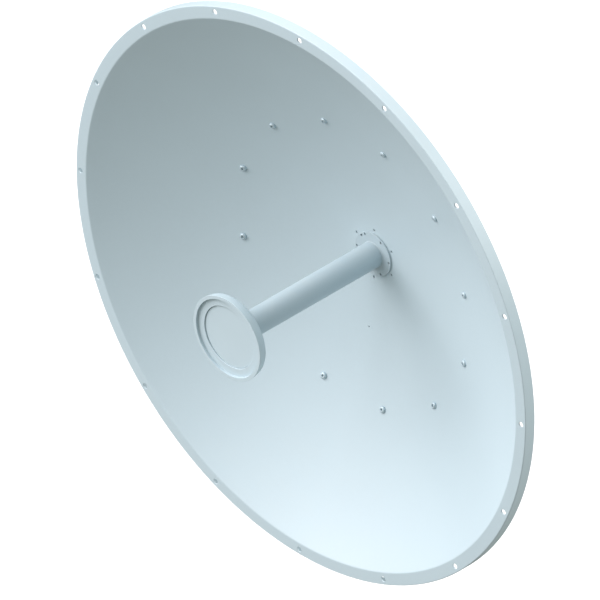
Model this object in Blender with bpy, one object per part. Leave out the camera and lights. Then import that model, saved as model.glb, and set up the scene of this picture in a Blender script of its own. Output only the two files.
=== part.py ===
"""Dish antenna: a pressed parabolic reflector with a tube feed, on a backing ring with a mast plate.

Metres, +Z up. The dish looks along -Y. The origin is the centre of the mast plate's back face.
Turned pieces are drawn as (radius, depth) outlines, where depth runs back from the rim plane.
"""

import math

import bmesh
import bpy
from mathutils import Matrix, Vector

MM = 0.001
GAP = 0.3 * MM                          # clearance between pieces that touch
WELD_DISTANCE = MM / 1000               # a spun outline's two ends are merged within this
SMOOTH_ANGLE = math.radians(35)         # edges sharper than this stay crisp
STRAIGHT = Matrix.Identity(3)           # the turn of a hole or screw that lies along the dish axis

# Reflector: one pressed sheet
RIM_RADIUS = 525 * MM                   # outside of the turned-down skirt
APERTURE_RADIUS = 502 * MM              # where the bowl meets the flat rim flange
DISH_DEPTH = 177.5 * MM                 # rim plane to the vertex of the paraboloid
SKIRT_DEPTH = 21.5 * MM
SHEET = 2 * MM
HUB_SEAT_RADIUS = 58 * MM               # flat centre that the feed is screwed to
HUB_BORE_RADIUS = 22 * MM
FOUR_F = APERTURE_RADIUS ** 2 / DISH_DEPTH      # four focal lengths
DRILL_LENGTH = 16 * MM                  # of the cutters through the reflector's sheet

RIM_HOLES = 16
RIM_HOLE_CIRCLE = 514.4 * MM
RIM_HOLE_RADIUS = 4.75 * MM
DRAIN_HOLE_CIRCLE = 142 * MM
DRAIN_HOLE_RADIUS = 2 * MM

# The bowl is turned through these radii. Two of them flank the flat facet that the ring bolts sit on.
BOLT_FACET = (255 * MM, 280 * MM)
BOWL_RADII = [HUB_SEAT_RADIUS, 110 * MM, 165 * MM, 212 * MM, *BOLT_FACET,
              325 * MM, 370 * MM, 415 * MM, 460 * MM, APERTURE_RADIUS]
DISH_SEGMENTS = 72

# Depths behind the rim plane
MOUNT_DEPTH = 255.5 * MM                # back face of the mast plate
PLATE_THICK = 6 * MM
RING_BACK_DEPTH = 219 * MM

# Backing ring: a front flange on the back of the bowl, a tapered web and a flat rear flange
RING_SHEET = 4 * MM
RING_SEAT_RADIUS = 284 * MM             # outer edge of the front flange
RING_WEB_RADIUS = 253 * MM              # outside of the web where it starts, behind the front flange
RING_BACK_RADIUS = 190 * MM             # outside of the web where it ends, at the rear flange
RING_INNER_RADIUS = 152 * MM            # inner edge of the rear flange

# Ring bolts
RING_BOLTS = 12
FIRST_RING_BOLT = math.radians(15)
BOLT_HEAD_RADIUS = 6 * MM
BOLT_HEAD_HEIGHT = 4 * MM
BOLT_SOCKET_RADIUS = 2.3 * MM
BOLT_SOCKET_DEPTH = 2.4 * MM
BOLT_SHANK_RADIUS = 3 * MM
BOLT_NUT_RADIUS = 5.6 * MM
BOLT_NUT_HEIGHT = 5 * MM
BOLT_TAIL = 2 * MM

# Feed tube with its flange
FEED_FLANGE_RADIUS = 41 * MM
FEED_FLANGE_THICK = 2.8 * MM
TUBE_RADIUS = 23 * MM
TUBE_BORE_RADIUS = 20 * MM
TUBE_SEGMENTS = 24
LOCATING_HOLE_CIRCLE = 37 * MM
LOCATING_HOLE_ANGLE = math.radians(136)
LOCATING_HOLE_RADIUS = 2.3 * MM

# Small screws of the hub. They are put in from behind: only their ends show in front.
HUB_SCREWS = 6
FLANGE_SCREW_CIRCLE = 36.8 * MM
OUTER_SCREW_CIRCLE = 47.1 * MM
SCREW_SETBACK = 1.6 * MM                # from the front face to the screw's end
SCREW_SHANK_RADIUS = 2 * MM
SCREW_HEAD_RADIUS = 3.2 * MM
SCREW_HEAD_HEIGHT = 2.6 * MM
SCREW_SOCKET_RADIUS = 1.7 * MM
SCREW_SOCKET_DEPTH = 1.4 * MM

# Hub plate and waveguide housing behind the dish
HUB_PLATE_RADIUS = 60 * MM
HUB_PLATE_THICK = 4 * MM
HOUSING_FLANGE_RADIUS = 42.8 * MM
HOUSING_FLANGE_THICK = 6 * MM
HOUSING_RADIUS = 31 * MM
HOUSING_LENGTH = 36 * MM
HOUSING_BORE_RADIUS = 20 * MM
HOUSING_FLOOR = 6 * MM
CAP_RADIUS = 33 * MM
CAP_THICK = 4 * MM
CONNECTOR_ANGLES = (math.radians(-135), math.radians(-45))
CONNECTOR_BASE_RADIUS = 10 * MM
CONNECTOR_BASE_HEIGHT = 4 * MM
CONNECTOR_BARREL_RADIUS = 7.9 * MM
CONNECTOR_CAP_RADIUS = 9.5 * MM
CONNECTOR_CAP_HEIGHT = 12 * MM
CONNECTOR_LENGTH = 22 * MM

# Feed head in front of the dish: depths are counted back from its front lip
HEAD_FRONT_DEPTH = -169.4 * MM
HEAD_SEGMENTS = 40
LIP_RADIUS = 78 * MM
LIP_BORE_RADIUS = 71.6 * MM
LEDGE_DEPTH = 4.9 * MM
POCKET_RADIUS = 57.1 * MM
DISC_DEPTH = 7.2 * MM
DISC_THICK = 3 * MM
SHELL_BACK = 17.8 * MM
SHELL_SIDE = [(77.4 * MM, 6.2 * MM), (76.2 * MM, 12.8 * MM), (74.9 * MM, 16.7 * MM), (73 * MM, SHELL_BACK)]
CONE_FRONT_RADIUS = 64 * MM
CONE_EDGE = 2 * MM
CONE_BACK_RADIUS = 26 * MM
CONE_BACK = 44 * MM
TUBE_FRONT = 25 * MM                    # how far behind the lip the tube ends, inside the cone

# Mast frame: two channels across the ring and a plate on them
BEAM_OFFSET = 85 * MM
BEAM_WIDTH = 40 * MM
BEAM_SHEET = 3 * MM
BEAM_HALF_LENGTH = 162 * MM
BEAM_BOLT_HEIGHT = 148 * MM
BEAM_BOLT_HEAD_RADIUS = 7.2 * MM
BEAM_BOLT_HEAD_HEIGHT = 5.3 * MM
BEAM_BOLT_SHANK_RADIUS = 4 * MM
BEAM_BOLT_NUT_HEIGHT = 6.5 * MM
BEAM_BOLT_TAIL = 2 * MM
PLATE_HALF_WIDTH = 115 * MM
PLATE_HALF_HEIGHT = 90 * MM
PLATE_CORNER = 12 * MM
PLATE_HOLE_X = 38 * MM
PLATE_HOLE_Z = 60 * MM
PLATE_HOLE_RADIUS = 5.5 * MM

FASTENER_SEGMENTS = 8
ROUND_HOLE_SEGMENTS = 12


def clear_scene():
    for obj in list(bpy.data.objects):
        bpy.data.objects.remove(obj, do_unlink=True)


def make_material(name, colour, roughness, metallic):
    material = bpy.data.materials.new(name)
    material.use_nodes = True
    shader = material.node_tree.nodes["Principled BSDF"]
    shader.inputs["Base Color"].default_value = (*colour, 1.0)
    shader.inputs["Roughness"].default_value = roughness
    shader.inputs["Metallic"].default_value = metallic
    return material


def make_materials():
    pale = (0.56, 0.64, 0.67)
    return {
        "dish_paint": make_material("dish_paint", pale, 0.45, 0.0),
        "frame_paint": make_material("frame_paint", (0.50, 0.57, 0.60), 0.50, 0.0),
        "feed_plastic": make_material("feed_plastic", (0.58, 0.66, 0.69), 0.40, 0.0),
        "feed_metal": make_material("feed_metal", pale, 0.38, 0.0),
        "fastener": make_material("fastener", (0.52, 0.59, 0.62), 0.35, 0.6),
        "connector": make_material("connector", (0.60, 0.58, 0.50), 0.30, 1.0),
    }


def around(radius, angle, depth=0.0):
    """A point on a circle about the dish axis, with the angle counted from +X towards +Z."""
    return Vector((radius * math.cos(angle), depth, radius * math.sin(angle)))


def even_angles(count, first=0.0):
    return [first + 2 * math.pi * step / count for step in range(count)]


def turned(outline, segments, closed=True):
    """A solid spun about the Y axis. The polygon's flats, not its corners, lie on the stated radii."""
    bm = bmesh.new()
    half_step = math.pi / segments
    corner = 1 / math.cos(half_step)
    verts = [bm.verts.new(around(radius * corner, half_step, depth)) for radius, depth in outline]
    edges = [bm.edges.new(pair) for pair in zip(verts, verts[1:])]
    if closed:
        edges.append(bm.edges.new((verts[-1], verts[0])))
    bmesh.ops.spin(bm, geom=verts + edges, cent=(0, 0, 0), axis=(0, 1, 0),
                   angle=2 * math.pi, steps=segments, use_merge=True)
    bmesh.ops.remove_doubles(bm, verts=bm.verts, dist=WELD_DISTANCE)
    bmesh.ops.recalc_face_normals(bm, faces=bm.faces)
    return bm


def drawn(outline, length):
    """A bar along Z, centred on it, with a closed (x, y) outline as its section."""
    bm = bmesh.new()
    base = bm.faces.new([bm.verts.new((x, y, -length / 2)) for x, y in outline])
    grown = bmesh.ops.extrude_face_region(bm, geom=[base])["geom"]
    top = [item for item in grown if isinstance(item, bmesh.types.BMVert)]
    bmesh.ops.translate(bm, verts=top, vec=(0, 0, length))
    bmesh.ops.recalc_face_normals(bm, faces=bm.faces)
    return bm


def place(name, bm, material, parent, location=(0, 0, 0), rotation=STRAIGHT):
    mesh = bpy.data.meshes.new(name)
    bm.to_mesh(mesh)
    bm.free()
    mesh.materials.append(material)
    mesh.shade_smooth()
    mesh.set_sharp_from_angle(angle=SMOOTH_ANGLE)
    return place_mesh(name, mesh, parent, location, rotation)


def place_mesh(name, mesh, parent, location=(0, 0, 0), rotation=STRAIGHT):
    obj = bpy.data.objects.new(name, mesh)
    bpy.context.scene.collection.objects.link(obj)
    obj.parent = parent
    obj.location = location
    obj.rotation_euler = rotation.to_euler()
    return obj


def drill(target, holes, segments=FASTENER_SEGMENTS):
    """Cuts round holes, with flats that face a turned piece's flats.

    Each is (centre, rotation of its axis from Y, radius, length).
    """
    bm = bmesh.new()
    half_step = math.pi / segments
    for centre, rotation, radius, length in holes:
        corner = radius / math.cos(half_step)
        turn = rotation.to_4x4() @ Matrix.Rotation(math.pi / 2, 4, "X") @ Matrix.Rotation(half_step, 4, "Z")
        bmesh.ops.create_cone(bm, cap_ends=True, segments=segments, radius1=corner, radius2=corner,
                              depth=length, matrix=Matrix.Translation(centre) @ turn)
    mesh = bpy.data.meshes.new(target.name + "_drill")
    bm.to_mesh(mesh)
    bm.free()
    cutter = place_mesh(mesh.name, mesh, target.parent, target.location)
    cutter.hide_render = True
    cutter.display_type = "WIRE"
    boolean = target.modifiers.new("holes", "BOOLEAN")
    boolean.operation = "DIFFERENCE"
    boolean.solver = "EXACT"
    boolean.object = cutter


def bowl_depth(radius):
    return DISH_DEPTH - radius ** 2 / FOUR_F


def bowl_slope(radius):
    return math.atan(2 * radius / FOUR_F)


def behind_bowl(radius, offset):
    """The point that lies an offset behind the front surface, along its normal."""
    slope = bowl_slope(radius)
    return Vector((radius + offset * math.sin(slope), bowl_depth(radius) + offset * math.cos(slope)))


def crossing(first, second):
    """Where two lines meet. Each is a pair of (radius, depth) points."""
    along = first[1] - first[0]
    other = second[1] - second[0]
    return first[0] + along * (other.cross(second[0] - first[0]) / other.cross(along))


def at_radius(line, radius):
    """The point of a line at a radius."""
    return crossing(line, (Vector((radius, 0)), Vector((radius, 1))))


HUB_SEAT_DEPTH = bowl_depth(HUB_SEAT_RADIUS)
HUB_PLATE_FRONT = HUB_SEAT_DEPTH + SHEET + GAP
HOUSING_FRONT = HUB_PLATE_FRONT + HUB_PLATE_THICK + GAP
HOUSING_BACK = HOUSING_FRONT + HOUSING_FLANGE_THICK + HOUSING_LENGTH
FEED_FLANGE_FRONT = HUB_SEAT_DEPTH - GAP - FEED_FLANGE_THICK

# The facet under the ring bolts, as a middle point and a slope
FACET_START = Vector((BOLT_FACET[0], bowl_depth(BOLT_FACET[0])))
FACET_END = Vector((BOLT_FACET[1], bowl_depth(BOLT_FACET[1])))
FACET_MIDDLE = (FACET_START + FACET_END) / 2
FACET_SLOPE = math.atan((FACET_START.y - FACET_END.y) / (FACET_END.x - FACET_START.x))


def bolt_turn(angle):
    """Stands a bolt square on the bowl at an angle round the axis."""
    return Matrix.Rotation(-angle, 3, "Y") @ Matrix.Rotation(-FACET_SLOPE, 3, "Z")


def outer_screw_angles():
    return even_angles(HUB_SCREWS, math.pi / HUB_SCREWS)


def ring_bolt_holes(length):
    return [(around(FACET_MIDDLE.x, angle, FACET_MIDDLE.y), bolt_turn(angle), BOLT_SHANK_RADIUS + GAP, length)
            for angle in even_angles(RING_BOLTS, FIRST_RING_BOLT)]


def flange_screw_holes(depth, length):
    return [(around(FLANGE_SCREW_CIRCLE, angle, depth), STRAIGHT, SCREW_SHANK_RADIUS + GAP, length)
            for angle in even_angles(HUB_SCREWS)]


def outer_screw_holes(depth, length):
    return [(around(OUTER_SCREW_CIRCLE, angle, depth), STRAIGHT, SCREW_SHANK_RADIUS + GAP, length)
            for angle in outer_screw_angles()]


def reflector_outline():
    front = [(HUB_BORE_RADIUS, HUB_SEAT_DEPTH)]
    front += [(radius, bowl_depth(radius)) for radius in BOWL_RADII]
    rim_slope = bowl_slope(APERTURE_RADIUS)
    flange_start = APERTURE_RADIUS + SHEET * math.tan(rim_slope / 2)
    rim = [(RIM_RADIUS, 0), (RIM_RADIUS, SKIRT_DEPTH), (RIM_RADIUS - SHEET, SKIRT_DEPTH),
           (RIM_RADIUS - SHEET, SHEET), (flange_start, SHEET)]
    back = [tuple(behind_bowl(radius, SHEET)) for radius in reversed(BOWL_RADII[1:-1])]
    back += [(HUB_SEAT_RADIUS, HUB_SEAT_DEPTH + SHEET), (HUB_BORE_RADIUS, HUB_SEAT_DEPTH + SHEET)]
    return front + rim + back


def make_reflector(parent, material):
    reflector = place("reflector", turned(reflector_outline(), DISH_SEGMENTS), material, parent)
    drill(reflector, [(around(RIM_HOLE_CIRCLE, angle), STRAIGHT, RIM_HOLE_RADIUS, DRILL_LENGTH)
                      for angle in even_angles(RIM_HOLES)], ROUND_HOLE_SEGMENTS)
    holes = ring_bolt_holes(DRILL_LENGTH)
    holes += flange_screw_holes(HUB_SEAT_DEPTH, DRILL_LENGTH)
    holes += outer_screw_holes(HUB_SEAT_DEPTH, DRILL_LENGTH)
    holes.append((around(DRAIN_HOLE_CIRCLE, -math.pi / 2, bowl_depth(DRAIN_HOLE_CIRCLE)), STRAIGHT,
                  DRAIN_HOLE_RADIUS, DRILL_LENGTH))
    drill(reflector, holes)


def ring_outline():
    """The ring's section. Its front flange is parallel to the back of the bolt facet."""
    away = Vector((math.sin(FACET_SLOPE), math.cos(FACET_SLOPE)))
    seat = [point + away * (SHEET + GAP) for point in (FACET_START, FACET_END)]
    behind_seat = [point + away * RING_SHEET for point in seat]
    outer_front = at_radius(seat, RING_SEAT_RADIUS)
    web = [at_radius(behind_seat, RING_WEB_RADIUS), Vector((RING_BACK_RADIUS, RING_BACK_DEPTH))]
    inward = (web[1] - web[0]).orthogonal().normalized()
    web_inside = [point + inward * RING_SHEET for point in web]
    rear_front = RING_BACK_DEPTH - RING_SHEET
    rear_line = (Vector((RING_INNER_RADIUS, rear_front)), Vector((RING_BACK_RADIUS, rear_front)))
    return [
        crossing(web_inside, seat), outer_front, outer_front + away * RING_SHEET, *web,
        Vector((RING_INNER_RADIUS, RING_BACK_DEPTH)), rear_line[0], crossing(web_inside, rear_line),
    ]


def beam_bolt_points():
    return [Vector((x, RING_BACK_DEPTH, z)) for x in (-BEAM_OFFSET, BEAM_OFFSET)
            for z in (-BEAM_BOLT_HEIGHT, BEAM_BOLT_HEIGHT)]


def make_back_ring(parent, material):
    ring = place("back_ring", turned(ring_outline(), DISH_SEGMENTS), material, parent)
    length = 8 * RING_SHEET
    drill(ring, ring_bolt_holes(length)
          + [(point, STRAIGHT, BEAM_BOLT_SHANK_RADIUS + GAP, length) for point in beam_bolt_points()])


def bolt_outline(head_radius, head_height, socket, shank_radius, nut_start, nut_radius, nut_height, tail):
    """A bolt with its nut run on, as one turned solid. Depth zero is the seat under the head."""
    socket_radius, socket_depth = socket
    chamfer = head_height / 4
    top = -head_height
    return [
        (0, top + socket_depth), (socket_radius, top + socket_depth), (socket_radius, top),
        (head_radius - chamfer, top), (head_radius, top + chamfer), (head_radius, 0), (shank_radius, 0),
        (shank_radius, nut_start), (nut_radius, nut_start), (nut_radius, nut_start + nut_height),
        (shank_radius, nut_start + nut_height), (shank_radius, nut_start + nut_height + tail),
        (0, nut_start + nut_height + tail),
    ]


def make_ring_bolts(parent, material):
    grip = GAP + SHEET + GAP + RING_SHEET + GAP
    outline = bolt_outline(BOLT_HEAD_RADIUS, BOLT_HEAD_HEIGHT, (BOLT_SOCKET_RADIUS, BOLT_SOCKET_DEPTH),
                           BOLT_SHANK_RADIUS, grip, BOLT_NUT_RADIUS, BOLT_NUT_HEIGHT, BOLT_TAIL)
    seat = FACET_MIDDLE - GAP * Vector((math.sin(FACET_SLOPE), math.cos(FACET_SLOPE)))
    mesh = None
    for index, angle in enumerate(even_angles(RING_BOLTS, FIRST_RING_BOLT), 1):
        name = f"ring_bolt_{index:02d}"
        location = around(seat.x, angle, seat.y)
        if mesh is None:
            bm = turned(outline, FASTENER_SEGMENTS, closed=False)
            mesh = place(name, bm, material, parent, location, bolt_turn(angle)).data
        else:
            place_mesh(name, mesh, parent, location, bolt_turn(angle))


def screw_outline(length):
    """A small socket screw that points forward. Depth zero is the seat under its head."""
    socket_floor = SCREW_HEAD_HEIGHT - SCREW_SOCKET_DEPTH
    return [
        (0, -length), (SCREW_SHANK_RADIUS, -length), (SCREW_SHANK_RADIUS, 0), (SCREW_HEAD_RADIUS, 0),
        (SCREW_HEAD_RADIUS, SCREW_HEAD_HEIGHT), (SCREW_SOCKET_RADIUS, SCREW_HEAD_HEIGHT),
        (SCREW_SOCKET_RADIUS, socket_floor), (0, socket_floor),
    ]


def make_screw_ring(stem, circle, angles, end, seat, parent, material):
    """Screws on a circle, each from its end forward of the hub to its head's seat behind it."""
    mesh = None
    for index, angle in enumerate(angles, 1):
        name = f"{stem}_{index}"
        location = around(circle, angle, seat)
        if mesh is None:
            bm = turned(screw_outline(seat - end), FASTENER_SEGMENTS, closed=False)
            mesh = place(name, bm, material, parent, location).data
        else:
            place_mesh(name, mesh, parent, location)


def make_hub_screws(parent, material):
    make_screw_ring("flange_screw", FLANGE_SCREW_CIRCLE, even_angles(HUB_SCREWS),
                    FEED_FLANGE_FRONT + SCREW_SETBACK, HOUSING_FRONT + HOUSING_FLANGE_THICK + GAP,
                    parent, material)
    make_screw_ring("hub_screw", OUTER_SCREW_CIRCLE, outer_screw_angles(),
                    HUB_SEAT_DEPTH + SCREW_SETBACK, HUB_PLATE_FRONT + HUB_PLATE_THICK + GAP,
                    parent, material)


def make_feed_tube(parent, material):
    """A straight waveguide tube, open at both ends, on a round flange."""
    back = HUB_SEAT_DEPTH - GAP
    front = HEAD_FRONT_DEPTH + TUBE_FRONT
    outline = [
        (TUBE_BORE_RADIUS, front), (TUBE_RADIUS, front), (TUBE_RADIUS, FEED_FLANGE_FRONT),
        (FEED_FLANGE_RADIUS, FEED_FLANGE_FRONT), (FEED_FLANGE_RADIUS, back), (TUBE_BORE_RADIUS, back),
    ]
    tube = place("feed_tube", turned(outline, TUBE_SEGMENTS), material, parent)
    middle = FEED_FLANGE_FRONT + FEED_FLANGE_THICK / 2
    length = 2 * FEED_FLANGE_THICK
    locating_hole = (around(LOCATING_HOLE_CIRCLE, LOCATING_HOLE_ANGLE, middle), STRAIGHT,
                     LOCATING_HOLE_RADIUS, length)
    drill(tube, [*flange_screw_holes(middle, length), locating_hole])


def make_hub_plate(parent, material):
    back = HUB_PLATE_FRONT + HUB_PLATE_THICK
    outline = [(HUB_BORE_RADIUS, HUB_PLATE_FRONT), (HUB_PLATE_RADIUS, HUB_PLATE_FRONT),
               (HUB_PLATE_RADIUS, back), (HUB_BORE_RADIUS, back)]
    plate = place("hub_plate", turned(outline, TUBE_SEGMENTS), material, parent)
    middle = (HUB_PLATE_FRONT + back) / 2
    length = 3 * HUB_PLATE_THICK
    drill(plate, flange_screw_holes(middle, length) + outer_screw_holes(middle, length))


def make_housing(parent, material):
    """The waveguide's end: a flanged cup whose mouth meets the hub plate."""
    flange_back = HOUSING_FRONT + HOUSING_FLANGE_THICK
    outline = [
        (0, HOUSING_BACK - HOUSING_FLOOR), (HOUSING_BORE_RADIUS, HOUSING_BACK - HOUSING_FLOOR),
        (HOUSING_BORE_RADIUS, HOUSING_FRONT), (HOUSING_FLANGE_RADIUS, HOUSING_FRONT),
        (HOUSING_FLANGE_RADIUS, flange_back), (HOUSING_RADIUS, flange_back),
        (HOUSING_RADIUS, HOUSING_BACK), (0, HOUSING_BACK),
    ]
    housing = place("waveguide_housing", turned(outline, TUBE_SEGMENTS, closed=False), material, parent)
    drill(housing, flange_screw_holes((HOUSING_FRONT + flange_back) / 2, 3 * HOUSING_FLANGE_THICK))
    cap_front = HOUSING_BACK + GAP
    cap_back = cap_front + CAP_THICK
    cap = [(0, cap_front), (CAP_RADIUS, cap_front), (CAP_RADIUS, cap_back), (0, cap_back)]
    place("housing_cap", turned(cap, TUBE_SEGMENTS, closed=False), material, parent)


def make_connectors(parent, material):
    """Two capped sockets at right angles to each other, both looking down."""
    barrel_end = CONNECTOR_LENGTH - CONNECTOR_CAP_HEIGHT
    outline = [
        (0, 0), (CONNECTOR_BASE_RADIUS, 0), (CONNECTOR_BASE_RADIUS, CONNECTOR_BASE_HEIGHT),
        (CONNECTOR_BARREL_RADIUS, CONNECTOR_BASE_HEIGHT), (CONNECTOR_BARREL_RADIUS, barrel_end),
        (CONNECTOR_CAP_RADIUS, barrel_end), (CONNECTOR_CAP_RADIUS, CONNECTOR_LENGTH), (0, CONNECTOR_LENGTH),
    ]
    depth = HOUSING_BACK - HOUSING_LENGTH / 2
    for index, angle in enumerate(CONNECTOR_ANGLES, 1):
        outward = Matrix.Rotation(-angle, 3, "Y") @ Matrix.Rotation(-math.pi / 2, 3, "Z")
        location = around(HOUSING_RADIUS + GAP, angle, depth)
        place(f"connector_{index}", turned(outline, FASTENER_SEGMENTS, closed=False),
              material, parent, location, outward)


def make_feed_head(parent, material):
    """The cup at the end of the tube, its front disc and the cone that carries them."""
    pocket_floor = DISC_DEPTH + DISC_THICK + GAP
    shell = [
        (0, pocket_floor), (POCKET_RADIUS, pocket_floor), (POCKET_RADIUS, LEDGE_DEPTH),
        (LIP_BORE_RADIUS, LEDGE_DEPTH), (LIP_BORE_RADIUS, 0), (LIP_RADIUS, 0), *SHELL_SIDE, (0, SHELL_BACK),
    ]
    disc_radius = POCKET_RADIUS - GAP
    disc = [(0, DISC_DEPTH), (disc_radius, DISC_DEPTH), (disc_radius, DISC_DEPTH + DISC_THICK),
            (0, DISC_DEPTH + DISC_THICK)]
    cone_front = SHELL_BACK + GAP
    tube_pocket = TUBE_RADIUS + GAP
    cone = [
        (0, cone_front), (CONE_FRONT_RADIUS, cone_front), (CONE_FRONT_RADIUS, cone_front + CONE_EDGE),
        (CONE_BACK_RADIUS, CONE_BACK), (tube_pocket, CONE_BACK), (tube_pocket, TUBE_FRONT - GAP),
        (0, TUBE_FRONT - GAP),
    ]
    front = (0, HEAD_FRONT_DEPTH, 0)
    for name, outline in (("feed_head_shell", shell), ("feed_head_disc", disc), ("feed_head_cone", cone)):
        place(name, turned(outline, HEAD_SEGMENTS, closed=False), material, parent, front)


def make_beams(parent, material):
    """Two upright channels, open to the back, bolted across the ring's rear flange."""
    front = RING_BACK_DEPTH + GAP
    back = MOUNT_DEPTH - PLATE_THICK - GAP
    half = BEAM_WIDTH / 2
    inside = half - BEAM_SHEET
    floor = front + BEAM_SHEET
    outline = [(-half, front), (half, front), (half, back), (inside, back), (inside, floor),
               (-inside, floor), (-inside, back), (-half, back)]
    for name, x in (("mount_beam_left", -BEAM_OFFSET), ("mount_beam_right", BEAM_OFFSET)):
        beam = place(name, drawn(outline, 2 * BEAM_HALF_LENGTH), material, parent, (x, 0, 0))
        drill(beam, [(Vector((0, front, z)), STRAIGHT, BEAM_BOLT_SHANK_RADIUS + GAP, 4 * BEAM_SHEET)
                     for z in (-BEAM_BOLT_HEIGHT, BEAM_BOLT_HEIGHT)])


def make_beam_bolts(parent, material):
    """Hexagon bolts put in from behind: their heads are in the channels, their nuts inside the ring."""
    seat = RING_BACK_DEPTH + GAP + BEAM_SHEET + GAP
    nut_back = RING_BACK_DEPTH - RING_SHEET - GAP
    nut_front = nut_back - BEAM_BOLT_NUT_HEIGHT
    tail = nut_front - BEAM_BOLT_TAIL
    outline = [
        (0, seat + BEAM_BOLT_HEAD_HEIGHT), (BEAM_BOLT_HEAD_RADIUS, seat + BEAM_BOLT_HEAD_HEIGHT),
        (BEAM_BOLT_HEAD_RADIUS, seat), (BEAM_BOLT_SHANK_RADIUS, seat),
        (BEAM_BOLT_SHANK_RADIUS, nut_back), (BEAM_BOLT_HEAD_RADIUS, nut_back),
        (BEAM_BOLT_HEAD_RADIUS, nut_front), (BEAM_BOLT_SHANK_RADIUS, nut_front),
        (BEAM_BOLT_SHANK_RADIUS, tail), (0, tail),
    ]
    for index, point in enumerate(beam_bolt_points(), 1):
        place(f"beam_bolt_{index}", turned(outline, FASTENER_SEGMENTS, closed=False),
              material, parent, (point.x, 0, point.z))


def rounded_rectangle(half_width, half_height, corner, steps=4):
    points = []
    for quarter in range(4):
        sign_x = (1, -1, -1, 1)[quarter]
        sign_z = (1, 1, -1, -1)[quarter]
        centre = Vector((sign_x * (half_width - corner), sign_z * (half_height - corner)))
        for step in range(steps + 1):
            angle = (quarter + step / steps) * math.pi / 2
            points.append(tuple(centre + corner * Vector((math.cos(angle), math.sin(angle)))))
    return points


def make_mount_plate(parent, material):
    """The plate that a mast clamp is bolted to. It is welded across the two channels."""
    outline = rounded_rectangle(PLATE_HALF_WIDTH, PLATE_HALF_HEIGHT, PLATE_CORNER)
    bm = drawn(outline, PLATE_THICK)
    bmesh.ops.rotate(bm, verts=bm.verts, cent=(0, 0, 0), matrix=Matrix.Rotation(math.pi / 2, 3, "X"))
    middle = MOUNT_DEPTH - PLATE_THICK / 2
    plate = place("mount_plate", bm, material, parent, (0, middle, 0))
    drill(plate, [(Vector((x, 0, z)), STRAIGHT, PLATE_HOLE_RADIUS, 3 * PLATE_THICK)
                  for x in (-PLATE_HOLE_X, PLATE_HOLE_X) for z in (-PLATE_HOLE_Z, PLATE_HOLE_Z)],
          ROUND_HOLE_SEGMENTS)


def main():
    clear_scene()
    materials = make_materials()
    rim_centre = bpy.data.objects.new("rim_centre", None)
    bpy.context.scene.collection.objects.link(rim_centre)
    rim_centre.location = (0, -MOUNT_DEPTH, 0)

    make_reflector(rim_centre, materials["dish_paint"])
    make_back_ring(rim_centre, materials["frame_paint"])
    make_ring_bolts(rim_centre, materials["fastener"])
    make_hub_screws(rim_centre, materials["fastener"])
    make_feed_tube(rim_centre, materials["feed_metal"])
    make_hub_plate(rim_centre, materials["frame_paint"])
    make_housing(rim_centre, materials["feed_metal"])
    make_connectors(rim_centre, materials["connector"])
    make_feed_head(rim_centre, materials["feed_plastic"])
    make_beams(rim_centre, materials["frame_paint"])
    make_beam_bolts(rim_centre, materials["fastener"])
    make_mount_plate(rim_centre, materials["frame_paint"])


main()
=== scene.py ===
"""Dish antenna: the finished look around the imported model.

Metres, +Z up; the dish looks along -Y. Turned pieces are drawn as (radius, y) outlines round the Y axis.
Fasteners are drawn along their own Y axis, with the seat of the head at zero and the head towards -Y.
"""

import math

import bmesh
import bpy
from mathutils import Matrix, Vector


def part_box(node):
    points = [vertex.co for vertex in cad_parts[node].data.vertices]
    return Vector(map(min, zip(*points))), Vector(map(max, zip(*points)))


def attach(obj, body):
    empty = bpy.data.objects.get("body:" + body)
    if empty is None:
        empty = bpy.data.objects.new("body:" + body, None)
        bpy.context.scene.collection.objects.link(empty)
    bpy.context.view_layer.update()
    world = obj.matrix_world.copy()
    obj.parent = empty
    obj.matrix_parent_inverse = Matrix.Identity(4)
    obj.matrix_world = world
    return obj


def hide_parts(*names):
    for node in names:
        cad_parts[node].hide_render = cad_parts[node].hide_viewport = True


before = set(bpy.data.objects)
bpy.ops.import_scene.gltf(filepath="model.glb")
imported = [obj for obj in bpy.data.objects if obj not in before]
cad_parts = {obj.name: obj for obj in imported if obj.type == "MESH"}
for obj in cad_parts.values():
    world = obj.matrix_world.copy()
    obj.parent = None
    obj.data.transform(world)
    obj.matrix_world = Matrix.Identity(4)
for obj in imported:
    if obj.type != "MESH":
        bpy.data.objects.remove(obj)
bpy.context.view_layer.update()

MM = 0.001
TINY = MM / 1000
BODY = "root"
STRAIGHT = Matrix.Identity(4)
SHARP = math.radians(32)                # edges that turn by more than this stay sharp
FIT = 0.3 * MM                          # gap between pieces that meet

# Roundings of edges, from the finest to the softest
FINE_EDGE = 0.3 * MM
SOFT_EDGE = 0.4 * MM
SHEET_EDGE = 0.5 * MM                   # cut edges of the bowl's sheet, and the ends of the tube
PLATE_EDGE = 0.6 * MM
ROUND_EDGE = 0.8 * MM

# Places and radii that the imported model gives
RIM_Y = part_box("reflector")[0].y
RIM_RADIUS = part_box("reflector")[1].x
FLANGE_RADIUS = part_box("feed_tube")[1].x
TUBE_FRONT_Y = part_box("feed_tube")[0].y
FLANGE_BACK_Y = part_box("feed_tube")[1].y
HEAD_FRONT_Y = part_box("feed_head_shell")[0].y
LIP_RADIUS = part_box("feed_head_shell")[1].x
CONE_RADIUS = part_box("feed_head_cone")[1].x
CONE_BACK_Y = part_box("feed_head_cone")[1].y
RING_SEAT_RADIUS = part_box("back_ring")[1].x
RING_BACK_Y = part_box("back_ring")[1].y
HUB_PLATE_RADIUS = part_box("hub_plate")[1].x
HOUSING_FLANGE_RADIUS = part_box("waveguide_housing")[1].x
HOUSING_FRONT_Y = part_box("waveguide_housing")[0].y
HOUSING_BACK_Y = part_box("waveguide_housing")[1].y
CAP_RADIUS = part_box("housing_cap")[1].x

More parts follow.
